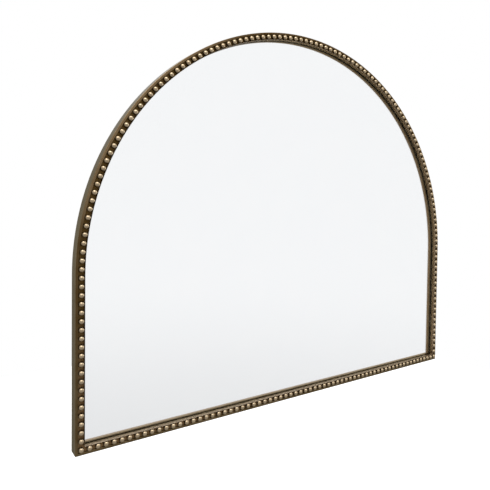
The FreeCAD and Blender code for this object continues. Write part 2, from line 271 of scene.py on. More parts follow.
@dataclass(frozen=True)
class AgedBronze:
    """Antique bronze over formed metal: dark in the hollows, rubbed bright on the bead crowns, with a painted
    highlight on the upper-left shoulder.

    The section attribute holds each point's offset from the bead line and its depth behind the rims.
    A pair of edges, depths, heights, sides, offsets or tones holds where a mask is 0 and where it is 1,
    and a share says how strongly a tone covers. The crowns' mask is 1 at a level of the beads' rise. The
    plain numbers in the sums are weights of masks and noise.
    """

    name: str
    rim_y: float
    rail_z: float
    trough_side: float
    crown_rise: float
    hollow: Colour = (0.1, 0.056, 0.013)
    patina: Colour = (0.058, 0.029, 0.006)
    body: Colour = (0.088, 0.06, 0.026)
    pale: Colour = (0.13, 0.094, 0.05)
    olive: Colour = (0.075, 0.066, 0.044)
    rubbed: Colour = (0.38, 0.3, 0.2)
    lip: Colour = (0.24, 0.158, 0.085)
    # Tone of the dust, which also paints a highlight on the rail's ledge and the lip's crest
    dust: Colour = (0.36, 0.3, 0.225)
    lower_hollow_tone: Colour = (0.27, 0.165, 0.082)
    edge_tint: Colour = (0.6, 0.56, 0.48)
    blot_noise: Noise = (22.0, 4.0)
    grain_noise: Noise = (2.2, 3.0)
    speck_noise: Noise = (0.5, 2.0)
    trough_edges: Pair = (0.25, -0.1)
    sunk_depths: Pair = (0.4, 3.2)
    crown_depth: float = 1.6
    crown_level: float = 0.6
    inward_offsets: Pair = (-0.5, -1.5)
    rim_depths: Pair = (1.6, 0.4)
    lip_offsets: Pair = (0.4, 0.1)
    lip_depths: Pair = (7.5, 3.0)
    lip_thickness: float = 1.0
    sheer_offsets: Pair = (0.6, 0.2)
    blot_tones: Pair = (0.35, 0.68)
    olive_depths: Pair = (5.0, 19.0)
    olive_share: float = 0.85
    speck_tones: Pair = (0.62, 0.75)
    speck_share: float = 0.5
    highlight_heights: Pair = (390.0, 530.0)
    highlight_sides: Pair = (-150.0, -350.0)
    low_heights: Pair = (300.0, 100.0)
    corner_heights: Pair = (-5.0, 0.0)
    ledge_heights: Pair = (11.0, 8.0)
    ledge_sides: Pair = (520.0, 120.0)
    crest_depths: Pair = (-0.6, -2.2)
    crest_share: float = 0.8
    dust_share: float = 0.7
    hollow_share: float = 0.93
    flank_offsets: Pair = (1.0, 2.0)
    flank_depths: Pair = (1.0, 2.5)
    polish_heights: Pair = (280.0, 480.0)
    metal: float = 0.92
    roughness: float = 0.36
    gloss: float = 0.25
    pitting: float = 0.05

    def material(self) -> Material:
        """Build the material."""
        recipe = Recipe(self.name)
        smooth, blend = recipe.smooth, recipe.blend
        side, lip_side = self.trough_side, self.trough_side + self.lip_thickness
        section = recipe.wire("ShaderNodeAttribute", output="Vector", attribute_name="section")
        across = recipe.coordinate(section, "X")
        depth = recipe.axis("Y") - self.rim_y
        above = recipe.axis("Z") - self.rail_z
        along = recipe.axis("X")
        noises = (self.blot_noise, self.grain_noise, self.speck_noise)
        blots, grain, speck = (recipe.noise(*noise) for noise in noises)
        # Masks of the section: trough, bead crowns, outer rim, inner lip and outer flank
        spread = recipe.maths("ABSOLUTE", across, 0.0)
        within = smooth(spread, *(side + edge for edge in self.trough_edges))
        hollow = within * smooth(depth + grain * 1.2, *self.sunk_depths)
        crown = within * smooth(depth + grain * 2.4, self.crown_depth, -self.crown_level * self.crown_rise)
        inward = smooth(across, *self.inward_offsets)
        rim = (1.0 - within) * (1.0 - inward) * smooth(depth + grain * 0.7, *self.rim_depths)
        lip = (1.0 - hollow) * smooth(across, *(offset - side for offset in self.lip_offsets))
        lip = lip * smooth(depth + grain * 2.0, *self.lip_depths)
        sheer = smooth(across, *(offset - lip_side for offset in self.sheer_offsets))
        flank = smooth(across, *(side + offset for offset in self.flank_offsets))
        flank = flank * smooth(depth, *self.flank_depths)
        # Masks of the whole frame: the painted highlight on the left shoulder, the low parts, and dust with a
        # painted highlight on ledge and crest
        shoulder_highlight = smooth(above, *self.highlight_heights) * smooth(along, *self.highlight_sides)
        low = smooth(above, *self.low_heights)
        # Dust and painted highlight: the rail's upward ledge, more towards the left, and the lip's crest
        ledge_dust_and_highlight = smooth(above + grain, *self.ledge_heights) * (0.3 + 0.4 * smooth(along, *self.ledge_sides))
        crest = self.crest_share * smooth(depth + 0.4 * grain, *self.crest_depths)
        dust_and_highlight = lip * recipe.maths("MAXIMUM", ledge_dust_and_highlight, crest)
        # Tones, from the body to what lies on it
        body = blend(smooth(blots, *self.blot_tones), self.body, self.pale)
        body = blend(smooth(depth + blots * 8.0, *self.olive_depths) * self.olive_share, body, self.olive)
        body = blend(smooth(speck, *self.speck_tones) * self.speck_share, body, self.patina)
        # The outer rim face darkens towards the patina above the rail, less under the shoulder's painted
        # highlight and low down
        rim_darkening = 0.65 - 0.5 * shoulder_highlight - 0.3 * low
        body = blend(rim * smooth(above, *self.corner_heights) * rim_darkening, body, self.patina)
        # Painted highlight: the outer rim on the upper-left shoulder lightened towards the lip's tone
        body = blend(rim * shoulder_highlight * (0.3 + 0.3 * grain), body, self.lip)
        body = blend(lip * (0.7 + 0.3 * grain) * (1.0 - 0.35 * sheer), body, self.lip)
        # Dust with a painted highlight, paler and less metallic
        body = blend(dust_and_highlight * self.dust_share, body, self.dust)
        worn = blend(crown * (0.55 + 0.45 * blots), body, self.rubbed)
        colour = blend(hollow * self.hollow_share, worn, self.hollow)
        # The hollows turn lighter and redder towards the bottom
        colour = blend(hollow * low * (0.3 + 0.5 * blots), colour, self.lower_hollow_tone)
        polish = 0.1 * crown + 0.2 * flank * smooth(above, *self.polish_heights)
        values = {
            "Base Color": colour,
            "Metallic": self.metal - 0.3 * hollow - 0.5 * dust_and_highlight,
            "Roughness": self.roughness + 0.16 * (grain - 0.5) + 0.25 * hollow - polish,
            "Normal": recipe.bump(0.6 * grain + 0.4 * speck, self.pitting),
            "Specular IOR Level": self.gloss,
            "Specular Tint": (*self.edge_tint, 1.0),
        }
        return recipe.finish(values)


@dataclass(frozen=True)
class FloatGlass:
    """Clear float glass in front of the silvering."""

    name: str = "clear_glass"
    colour: Colour = (0.99, 0.993, 0.993)
    film_noise: Noise = (60.0, 5.0)
    film_tones: Pair = (0.5, 0.8)
    film_share: float = 0.4
    haze: float = 0.004
    refraction: float = 1.52

    def material(self) -> Material:
        """Build the material."""
        recipe = Recipe(self.name)
        film = recipe.smooth(recipe.noise(*self.film_noise), *self.film_tones)
        values = {
            "Base Color": recipe.blend(film * self.film_share, self.colour, WHITE),
            "Roughness": self.haze * film,
            "IOR": self.refraction,
            "Transmission Weight": 1.0,
        }
        return recipe.finish(values)


@dataclass(frozen=True)
class Silvering:
    """Silver on the back of the glass."""

    name: str = "silvering"
    colour: Colour = (0.967, 0.976, 0.988)
    bright: Colour = (0.972, 0.98, 0.99)
    cloud_noise: Noise = (90.0, 3.0)
    cloud_tones: Pair = (0.4, 0.7)
    haze: float = 0.003

    def material(self) -> Material:
        """Build the material."""
        recipe = Recipe(self.name)
        cloud = recipe.noise(*self.cloud_noise)
        tone = recipe.blend(recipe.smooth(cloud, *self.cloud_tones), self.colour, self.bright)
        return recipe.finish({"Base Color": tone, "Metallic": 1.0, "Roughness": self.haze * cloud})


@dataclass(frozen=True)
class PaintedBoard:
    """Fibreboard under a thin rolled coat of black paint."""

    name: str = "painted_board"
    paint: Colour = (0.017, 0.016, 0.0155)
    thin: Colour = (0.045, 0.037, 0.03)
    roller_noise: Noise = (14.0, 4.0, (1.0, 1.0, 0.25))
    fibre_noise: Noise = (1.6, 4.0, (0.5, 1.0, 1.0))
    peel_noise: Noise = (3.5, 2.0)
    thin_tones: Pair = (0.5, 0.75)
    roughness: float = 0.5
    relief: float = 0.18

    def material(self) -> Material:
        """Build the material."""
        recipe = Recipe(self.name)
        noises = (self.roller_noise, self.fibre_noise, self.peel_noise)
        roller, fibre, peel = (recipe.noise(*noise) for noise in noises)
        thin = recipe.smooth(roller, *self.thin_tones) * (0.4 + 0.6 * fibre)
        colour = recipe.blend(thin, self.paint, self.thin)
        height = recipe.bump(0.5 * peel + 0.5 * fibre, self.relief)
        rough = self.roughness + 0.3 * thin
        return recipe.finish({"Base Color": colour, "Roughness": rough, "Normal": height})


@dataclass(frozen=True)
class RawEdge:
    """Sawn brown edge of the fibreboard."""

    name: str = "raw_board_edge"
    shade: Colour = (0.14, 0.085, 0.045)
    fluff: Colour = (0.27, 0.18, 0.1)
    fibre_noise: Noise = (0.9, 4.0)
    fibre_tones: Pair = (0.3, 0.7)
    roughness: float = 0.92
    relief: float = 0.25

    def material(self) -> Material:
        """Build the material."""
        recipe = Recipe(self.name)
        fibre = recipe.noise(*self.fibre_noise)
        colour = recipe.blend(recipe.smooth(fibre, *self.fibre_tones), self.shade, self.fluff)
        height = recipe.bump(fibre, self.relief)
        return recipe.finish({"Base Color": colour, "Roughness": self.roughness, "Normal": height})


@dataclass(frozen=True)
class PlatedSteel:
    """Zinc or nickel over steel, with a faint spangle and handling marks."""

    name: str
    light: Colour = (0.62, 0.63, 0.64)
    dark: Colour = (0.4, 0.405, 0.41)
    warm: Colour = (0.6, 0.56, 0.45)
    spangle: float = 5.0
    cloud_noise: Noise = (9.0, 4.0)
    mark_noise: Noise = (1.2, 2.0, (1.0, 1.0, 0.06))
    mark_tones: Pair = (0.6, 0.72)
    warm_tones: Pair = (0.5, 0.72)
    mark_share: float = 0.3
    warmth: float = 0.35
    roughness: float = 0.36
    relief: float = 0.04

    def material(self) -> Material:
        """Build the material."""
        recipe = Recipe(self.name)
        spangle = recipe.coordinate(recipe.cells(self.spangle, "Color"), "X")
        cloud = recipe.noise(*self.cloud_noise)
        marks = recipe.smooth(recipe.noise(*self.mark_noise), *self.mark_tones)
        colour = recipe.blend(0.55 * spangle + 0.3 * cloud, self.light, self.dark)
        colour = recipe.blend(recipe.smooth(cloud, *self.warm_tones) * self.warmth, colour, self.warm)
        colour = recipe.blend(marks * self.mark_share, colour, self.dark)
        rough = self.roughness + 0.14 * (cloud - 0.5) + 0.12 * marks
        height = recipe.bump(0.7 * cloud + 0.3 * marks, self.relief)
        return recipe.finish({"Base Color": colour, "Metallic": 1.0, "Roughness": rough, "Normal": height})


@dataclass(frozen=True)
class Foam:
    """Closed cell foam tape."""

    name: str
    cell: Colour
    wall: Colour
    grain: float = 0.7
    wall_tones: Pair = (0.15, 0.6)
    roughness: float = 0.94
    relief: float = 0.15

    def material(self) -> Material:
        """Build the material."""
        recipe = Recipe(self.name)
        cells = recipe.cells(self.grain)
        colour = recipe.blend(recipe.smooth(cells, *self.wall_tones), self.cell, self.wall)
        height = recipe.bump(cells, self.relief)
        return recipe.finish({"Base Color": colour, "Roughness": self.roughness, "Normal": height})


@dataclass(frozen=True)
class Rubber:
    """Moulded soft rubber with a bloom of dust."""

    name: str = "bumper_rubber"
    body: Colour = (0.022, 0.022, 0.023)
    bloom: Colour = (0.09, 0.088, 0.084)
    dust_noise: Noise = (3.0, 4.0)
    skin_noise: Noise = (0.35, 2.0)
    dust_tones: Pair = (0.45, 0.78)
    dust_share: float = 0.7
    roughness: float = 0.6
    relief: float = 0.03

    def material(self) -> Material:
        """Build the material."""
        recipe = Recipe(self.name)
        dust = recipe.smooth(recipe.noise(*self.dust_noise), *self.dust_tones)
        colour = recipe.blend(dust * self.dust_share, self.body, self.bloom)
        skin = recipe.bump(recipe.noise(*self.skin_noise), self.relief)
        rough = self.roughness + 0.25 * dust
        return recipe.finish({"Base Color": colour, "Roughness": rough, "Normal": skin})


ZINC_SHEET = PlatedSteel("zinc_sheet")
SCREW_ZINC = PlatedSteel("screw_zinc", light=(0.66, 0.66, 0.65), warmth=0.5, roughness=0.28)
NICKEL_WIRE = PlatedSteel(
    "nickel_wire", light=(0.72, 0.7, 0.66), dark=(0.5, 0.48, 0.45), warmth=0.1, roughness=0.16
)
DARK_FOAM = Foam("dark_foam", cell=(0.016, 0.009, 0.004), wall=(0.045, 0.028, 0.015))
WHITE_FOAM = Foam("white_foam", cell=(0.62, 0.61, 0.58), wall=(0.8, 0.79, 0.76))


# The frame's outline


@dataclass(frozen=True)
class Station:
    """One place along a path: where the bead line is, and where an offset of one leads."""

    x: float
    z: float
    out_x: float
    out_z: float

    def at(self, offset: float, y: float) -> Vector:
        """Point at an offset from the bead line and a Y, in metres."""
        return Vector((self.x + offset * self.out_x, y, self.z + offset * self.out_z)) * MM


@dataclass(frozen=True)
class BeadLine:
    """Middle line of the beading, round the whole mirror."""

    half_width: float
    bottom_z: float
    spring_z: float
    rim_y: float
    arc_steps: int = 128

    def arch(self) -> list[Station]:
        """Stations up the left stile, round the arch and down the right stile, mitred at both feet."""
        crown = []
        for step in range(self.arc_steps + 1):
            turn = math.pi * step / self.arc_steps
            out_x, out_z = -math.cos(turn), math.sin(turn)
            place = (self.half_width * out_x, self.spring_z + self.half_width * out_z)
            crown.append(Station(*place, out_x, out_z))
        return [self.foot(Side.LEFT), *crown, self.foot(Side.RIGHT)]

    def rail(self) -> list[Station]:
        """The two ends of the bottom rail, from right to left."""
        return [self.foot(Side.RIGHT), self.foot(Side.LEFT)]

    def foot(self, side: Side) -> Station:
        """Mitred corner at the bottom of one stile."""
        return Station(side.value * self.half_width, self.bottom_z, side.value, -1.0)

    def outward(self, x: float, z: float) -> Vector:
        """Direction from a point towards the nearest stretch of frame.

        Args:
            x: X of the point.
            z: Z of the point.

        Returns:
            The direction, of length 1.
        """
        if z > self.spring_z:
            return Vector((x, 0.0, z - self.spring_z)).normalized()
        if z - self.bottom_z < self.half_width - abs(x):
            return Vector((0.0, 0.0, -1.0))
        return Vector((math.copysign(1.0, x), 0.0, 0.0))


@dataclass(frozen=True)
class Section:
    """Outline of a bar across its length, as (offset, depth, rounding) corners."""

    corners: list[Triple]
    steps: int = 3
    hold: float = 0.22

    def points(self) -> list[Pair]:
        """Corners rounded off, with a holding point on each side of a rounding."""
        outline = []
        count = len(self.corners)
        for index, (x, y, radius) in enumerate(self.corners):
            if radius <= 0:
                outline.append((x, y))
                continue
            corner = Vector((x, y))
            before = (Vector(self.corners[index - 1][:2]) - corner).normalized()
            after = (Vector(self.corners[(index + 1) % count][:2]) - corner).normalized()
            reach = radius / math.tan(before.angle(after) / 2)
            start, end = corner + before * reach, corner + after * reach
            outline.append(tuple(start + before * self.hold))
            for step in range(self.steps + 1):
                share = step / self.steps
                outline.append(tuple(start.lerp(corner, share).lerp(corner.lerp(end, share), share)))
            outline.append(tuple(end + after * self.hold))
        return outline


# Meshes


def new_object(name: str, mesh: Mesh) -> Object:
    """Put a mesh into the scene as an object at the origin.

    Args:
        name: The object's name.
        mesh: Its mesh.

    Returns:
        The object.
    """
    made = bpy.data.objects.new(name, mesh)
    bpy.context.scene.collection.objects.link(made)
    return made


def mesh_from(name: str, points: list[Vector], faces: list[tuple], edges: list[tuple] | None = None) -> Mesh:
    """Make a mesh.

    Args:
        name: The mesh's name.
        points: Points in metres.
        faces: Point numbers of each face.
        edges: Point numbers of each loose edge.

    Returns:
        The mesh.
    """
    mesh = bpy.data.meshes.new(name)
    mesh.from_pydata(points, edges or [], faces)
    mesh.update()
    return mesh


def aimed(name: str, points: list[Vector], directions: list[Vector]) -> Mesh:
    """Make loose points, each with its outward direction as an attribute.

    Args:
        name: The mesh's name.
        points: Points in metres.
        directions: Outward direction of each point.

    Returns:
        The mesh.
    """
    mesh = mesh_from(name, points, [])
    layer = mesh.attributes.new("outward", "FLOAT_VECTOR", "POINT")
    for item, direction in zip(layer.data, directions):
        item.vector = direction
    return mesh


def edited(mesh: Mesh, edit: Callable[[bmesh.types.BMesh], None]) -> Mesh:
    """Run an edit on a mesh through bmesh.

    Args:
        mesh: The mesh, which is changed.
        edit: The edit.

    Returns:
        The same mesh.
    """
    work = bmesh.new()
    work.from_mesh(mesh)
    edit(work)
    work.to_mesh(mesh)
    work.free()
    return mesh


def close(work: bmesh.types.BMesh) -> None:
    """Edit that fills open ends and turns the faces outwards."""
    bmesh.ops.holes_fill(work, edges=work.edges)
    bmesh.ops.recalc_face_normals(work, faces=work.faces)


def merge(work: bmesh.types.BMesh) -> None:
    """Edit that joins a solid's loose triangles into whole faces."""
    bmesh.ops.remove_doubles(work, verts=work.verts, dist=SOLID_WELD * MM)
    bmesh.ops.dissolve_limit(work, angle_limit=math.radians(FLAT_ANGLE), verts=work.verts, edges=work.edges)


def shaded(mesh: Mesh, degrees: float = 32.0) -> Mesh:
    """Shade a mesh smooth across edges flatter than an angle.

    Args:
        mesh: The mesh, which is changed.
        degrees: The angle.

    Returns:
        The same mesh.
    """
    mesh.shade_smooth()
    mesh.set_sharp_from_angle(angle=math.radians(degrees))
    return mesh


def lathe(name: str, profile: list[Pair], segments: int) -> Mesh:
    """Turn a profile round the Y axis.

    Args:
        name: The mesh's name.
        profile: (radius, y) pairs, a zero radius closing an end.
        segments: Flats round the axis.

    Returns:
        The mesh.
    """
    points, rings = [], []
    for radius, y in profile:
        count = segments if radius > 0 else 1
        rings.append([len(points) + index for index in range(count)])
        for index in range(count):
            turn = 2 * math.pi * index / segments
            points.append(Vector((radius * math.cos(turn), y, radius * math.sin(turn))) * MM)
    faces = []
    for near, far in zip(rings, rings[1:]):
        for index in range(segments):
            turns = (index, (index + 1) % segments)
            corners = [near[turn % len(near)] for turn in turns]
            corners += [far[turn % len(far)] for turn in reversed(turns)]
            faces.append(tuple(dict.fromkeys(corners)))
    return edited(mesh_from(name, points, faces), close)


def with_modifier(source: Object, name: str) -> Mesh:
    """Work out an object's modifiers and remove the object.

    Args:
        source: The object.
        name: Name of the new mesh.

    Returns:
        The plain mesh.
    """
    graph = bpy.context.evaluated_depsgraph_get()
    result = source.evaluated_get(graph)
    mesh = bpy.data.meshes.new_from_object(result, preserve_all_data_layers=True, depsgraph=graph)
    mesh.name = name
    bpy.data.objects.remove(source)
    return mesh


def softened(node: Object, name: str, width: float) -> Mesh:
    """Copy a solid's mesh, with its triangles merged and its sharp edges rounded.

    Args:
        node: The solid.
        name: Name of the new mesh.
        width: Width of the rounding.

    Returns:
        The mesh.
    """
    copy = node.data.copy()
    copy.materials.clear()
    source = new_object(name + "_sharp", edited(copy, merge))
    bevel = source.modifiers.new("bevel", "BEVEL")
    bevel.width = width * MM
    bevel.segments = EDGE_STEPS
    bevel.limit_method = "ANGLE"
    bevel.angle_limit = math.radians(SHARP_ANGLE)
    return shaded(with_modifier(source, name))


def joined(name: str, meshes: list[Mesh]) -> Mesh:
    """Put several meshes of one finish into one mesh.

    Args:
        name: Name of the new mesh.
        meshes: The meshes.

    Returns:
        The mesh.
    """
    work = bmesh.new()
    for mesh in meshes:
        work.from_mesh(mesh)
    made = bpy.data.meshes.new(name)
    for material in meshes[0].materials:
        made.materials.append(material)
    work.to_mesh(made)
    work.free()
    return shaded(made)


# Geometry node trees


class Growth(Graph):
    """A Geometry Nodes tree with named inputs that grows a plain mesh from a starting one."""

    def __init__(self, name: str, inputs: dict[str, str]) -> None:
        """Start a tree.

        Args:
            name: The tree's name.
            inputs: Type of each named input after the geometry, the last word of its socket's type.
        """
        super().__init__(bpy.data.node_groups.new(name, "GeometryNodeTree"))
        face = self.tree.interface
        for way in ("INPUT", "OUTPUT"):
            face.new_socket("Geometry", in_out=way, socket_type="NodeSocketGeometry")
        self.keys = {}
        for label, kind in {**inputs, "Finish": "Material"}.items():
            socket = face.new_socket(label, in_out="INPUT", socket_type="NodeSocket" + kind)
            self.keys[label] = socket.identifier
        self.start = self.node("NodeGroupInput")

    def given(self, label: str) -> Wire:
        """One of the tree's inputs."""
        return Wire(self, self.start.outputs[label])

    def shape(self, label: str) -> Wire:
        """Geometry of one of the tree's input objects."""
        return self.wire("GeometryNodeObjectInfo", {"Object": self.given(label)}, "Geometry")

    def outward(self) -> Wire:
        """Outward direction of each starting point."""
        return self.wire("GeometryNodeInputNamedAttribute", {"Name": "outward"}, data_type="FLOAT_VECTOR")

    def close(self, geometry: Wire) -> "Growth":
        """End the tree: make instances real and give them their finish.

        Args:
            geometry: What the tree has made.

        Returns:
            The tree.
        """
        real = self.wire("GeometryNodeRealizeInstances", {"Geometry": geometry})
        dressed = self.wire("GeometryNodeSetMaterial", {"Geometry": real, "Material": self.given("Finish")})
        self.node("NodeGroupOutput", {"Geometry": dressed})
        return self

    def grow(self, name: str, start: Mesh, values: dict[str, object]) -> Mesh:
        """Run the tree.

        Args:
            name: Name of the new mesh.
            start: Mesh that the tree starts from.
            values: Value of each named input; an input object is given as its mesh.

        Returns:
            The plain mesh.
        """
        source = new_object(name + "_start", start)
        modifier = source.modifiers.new("grow", "NODES")
        modifier.node_group = self.tree
        helpers = []
        for label, value in values.items():
            if isinstance(value, Mesh):
                helpers.append(new_object(name + "_" + label.lower(), value))
                value = helpers[-1]
            modifier[self.keys[label]] = value
        mesh = with_modifier(source, name)
        for helper in helpers:
            bpy.data.objects.remove(helper)
        return mesh


def sweep_tree() -> Growth:
    """Tree that draws a section along stations, closing the section on itself.

    The starting mesh has a point for each station with its outward direction, and the section is an
    object whose points hold offset and depth.

    Returns:
        The tree.
    """
    tree = Growth("sweep_section", {"Section": "Object"})
    stations, outline = tree.given("Geometry"), tree.shape("Section")
    along, around = (
        tree.wire("GeometryNodeAttributeDomainSize", {"Geometry": points}, "Point Count")
        for points in (stations, outline)
    )
    grid = tree.wire("GeometryNodeMeshGrid", {"Vertices X": along, "Vertices Y": around + 1.0})
    index = tree.wire("GeometryNodeInputIndex")
    station = tree.maths("FLOOR", index / (around + 1.0), 0.0)
    corner = tree.maths("MODULO", index - station * (around + 1.0), around)
    place = tree.wire("GeometryNodeInputPosition")

    def sampled(geometry: Wire, value: Wire, number: Wire) -> Wire:
        """Value of a vector field at one point of a geometry."""
        inputs = {"Geometry": geometry, "Value": value, "Index": number}
        return tree.wire("GeometryNodeSampleIndex", inputs, data_type="FLOAT_VECTOR")

    section = sampled(outline, place, corner)
    offset, depth = tree.coordinate(section, "X"), tree.coordinate(section, "Y")
    direction = sampled(stations, tree.outward(), station)
    reach = tree.wire("ShaderNodeVectorMath", {0: direction, "Scale": offset}, operation="SCALE")
    back = tree.wire("ShaderNodeCombineXYZ", {"Y": depth})
    foot = tree.vector_maths("ADD", sampled(stations, place, station), reach)
    tag = tree.wire("ShaderNodeCombineXYZ", {"X": offset / MM, "Y": depth / MM})
    inputs = {"Geometry": grid, "Name": "section", "Value": tag}
    tagged = tree.wire("GeometryNodeStoreNamedAttribute", inputs, data_type="FLOAT_VECTOR")
    inputs = {"Geometry": tagged, "Position": tree.vector_maths("ADD", foot, back)}
    moved = tree.wire("GeometryNodeSetPosition", inputs)
    inputs = {"Geometry": moved, "Distance": SWEEP_WELD * MM}
    return tree.close(tree.wire("GeometryNodeMergeByDistance", inputs))


def beading_tree() -> Growth:
    """Tree that sets beads at even spaces along a line, each a little uneven in size."""
    kinds = {"Bead": "Object", "Spaces": "Int", "Ends": "Bool", "Unevenness": "Float"}
    tree = Growth("row_of_beads", kinds)
    line = tree.wire("GeometryNodeMeshToCurve", {"Mesh": tree.given("Geometry")})
    spaces = tree.given("Spaces")
    points = tree.wire("GeometryNodeCurveToPoints", {"Curve": line, "Count": spaces + 1.0}, mode="COUNT")
    index = tree.wire("GeometryNodeInputIndex")
    middle = tree.maths("GREATER_THAN", index * (spaces - index), 0.5)
    dropped = tree.wire("FunctionNodeBooleanMath", {0: middle, 1: tree.given("Ends")}, operation="NOR")
    inputs = {"Geometry": points, "Selection": dropped}
    points = tree.wire("GeometryNodeDeleteGeometry", inputs, domain="POINT")
    inputs = {2: 1.0 - tree.given("Unevenness"), 3: 1.0, "Seed": BEAD_SEED}
    size = tree.wire("FunctionNodeRandomValue", inputs, 1, data_type="FLOAT")
    inputs = {"Points": points, "Instance": tree.shape("Bead"), "Scale": size}
    return tree.close(tree.wire("GeometryNodeInstanceOnPoints", inputs))


def pattern_tree() -> Growth:
    """Tree that sets one part on every point, turned about Y to the point's outward direction."""
    tree = Growth("set_of_parts", {"Part": "Object"})
    inputs = {"Vector": tree.outward()}
    turn = tree.wire("FunctionNodeAlignRotationToVector", inputs, axis="Z", pivot_axis="Y")
    inputs = {"Points": tree.given("Geometry"), "Instance": tree.shape("Part"), "Rotation": turn}
    return tree.close(tree.wire("GeometryNodeInstanceOnPoints", inputs))


def wire_tree() -> Growth:
    """Tree that rounds the corners of a closed line and makes round wire of it."""
    tree = Growth("bent_wire", {"Corner Radius": "Float", "Wire Radius": "Float"})
    line = tree.wire("GeometryNodeMeshToCurve", {"Mesh": tree.given("Geometry")})
    inputs = {"Curve": line, "Count": BEND_STEPS, "Radius": tree.given("Corner Radius"), "Limit Radius": True}
    bent = tree.wire("GeometryNodeFilletCurve", inputs, mode="POLY")
    inputs = {"Resolution": WIRE_SIDES, "Radius": tree.given("Wire Radius")}
    ring = tree.wire("GeometryNodeCurvePrimitiveCircle", inputs)
    inputs = {"Curve": bent, "Profile Curve": ring, "Fill Caps": True}
    return tree.close(tree.wire("GeometryNodeCurveToMesh", inputs))


@dataclass(frozen=True)
class Kit:
    """The trees that several sub-assemblies share."""

    sweep: Growth
    beading: Growth
    pattern: Growth
    wire: Growth

    def along(self, name: str, path: list[Station], rim_y: float, section: Section, finish: Material) -> Mesh:
        """Draw a section along stations and close its ends.

        Args:
            name: Name of the new mesh.
            path: Stations of the path.
            rim_y: Y of the front rims, where depth is zero.
            section: The section.
            finish: Material of the bar.

        Returns:
            The mesh.
        """
        points = [station.at(0.0, rim_y) for station in path]
        directions = [Vector((station.out_x, 0.0, station.out_z)) for station in path]
        start = aimed(name + "_line", points, directions)
        outline = [Vector((offset, depth, 0.0)) * MM for offset, depth in section.points()]
        values = {"Section": mesh_from(name + "_section", outline, []), "Finish": finish}
        return shaded(edited(self.sweep.grow(name, start, values), close))

    def patterned(self, name: str, part: Mesh, places: Places, finish: Material) -> Mesh:
        """Set copies of a part at places.

        Args:
            name: Name of the new mesh.
            part: The part, made at the origin with +Z outwards.
            places: Point in metres and outward direction of each copy.
            finish: Material of the parts.

        Returns:
            The mesh with all copies.
        """
        points, directions = zip(*places)
        start = aimed(name + "_places", points, directions)
        return shaded(self.pattern.grow(name, start, {"Part": part, "Finish": finish}))


# Pieces on their bodies


def depths(node: str, rim_y: float) -> Pair:
    """Front and back of a solid behind the front rims."""
    low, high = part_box(node)
    return low.y / MM - rim_y, high.y / MM - rim_y


def install(name: str, mesh: Mesh, body: str, nodes: list[str]) -> None:
    """Put a finished piece on its body in place of its solids.

    Args:
        name: The piece's name.
        mesh: Its mesh, in place.
        body: Body that carries it.
        nodes: Solids that it stands for.
    """
    piece = new_object(name, mesh)
    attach(piece, body)
    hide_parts(*nodes)
    LOG.info("%s: %d faces on %s", name, len(mesh.polygons), body)


def install_sheet(name: str, node: Object, width: float, finish: Material) -> None:
    """Put a softened copy of a sheet steel solid on the mirror.

    Args:
        name: The piece's name.
        node: The solid.
        width: Width of the rounding at its edges.
        finish: Material of the piece.
    """
    mesh = softened(node, name, width)
    mesh.materials.append(finish)
    install(name, mesh, "mirror", [node.name])


def dress(node: Object, finish: Material) -> None:
    """Give a solid's own mesh a finish.

    Args:
        node: The solid.
        finish: Its material.
    """
    node.data.materials.clear()
    node.data.materials.append(finish)
    LOG.info("%s: dressed in %s", node.name, finish.name)


# Sub-assemblies


@dataclass
class FrameBars:
    """The formed metal moulding: one bent bar for stiles and arch, one straight bottom rail."""

    kit: Kit
    line: BeadLine
    trough_side: float
    outer_face: float
    inner_face: float
    frame_depth: float
    trough_depth: float = 4.0
    trough_floor: float = 1.2
    seat_front: float = 7.5
    seat_back: float = 8.5
    seat_width: float = 4.5
    lip_rise: float = LIP_RISE
    lip_roll: float = 0.5
    lip_thin: float = 0.4
    lip_round_share: float = 0.45
    rim_round: float = 1.05
    edge_round: float = 0.3

    def section(self) -> Section:
        """The moulding's outline, from the outer rim round the back and up the inner wall."""
        side, floor = self.trough_side, self.trough_depth + self.trough_floor
        inner, crest = self.inner_face + self.lip_thin, self.lip_roll - self.lip_rise
        lip_round = min(self.rim_round, self.lip_round_share * (-side - inner))
        seat = self.inner_face + self.seat_width
        return Section([
            (self.outer_face, 0.0, self.rim_round),
            (self.outer_face, self.frame_depth, self.edge_round),
            (side, self.frame_depth, self.edge_round),
            (side, floor, self.edge_round),
            (-side, floor, self.edge_round),
            (-side, self.seat_front, self.edge_round),
            (seat, self.seat_front, self.edge_round),
            (seat, self.seat_back, self.edge_round),
            (inner, self.seat_back, self.edge_round),
            (inner, crest, lip_round),
            (-side, crest, lip_round),
            (-side, self.trough_depth, 0.0),
            (side, self.trough_depth, 0.0),
            (side, 0.0, self.rim_round),
        ])

    def build(self, finish: Material) -> None:
        """Build both bars.

        Args:
            finish: Their bronze.
        """
        for name, node, path in (
            ("arch_moulding", "arch_frame_bar", self.line.arch()),
            ("bottom_moulding", "bottom_frame_rail", self.line.rail()),
        ):
            mesh = self.kit.along(name, path, self.line.rim_y, self.section(), finish)
            install(name, mesh, "mirror", [node])


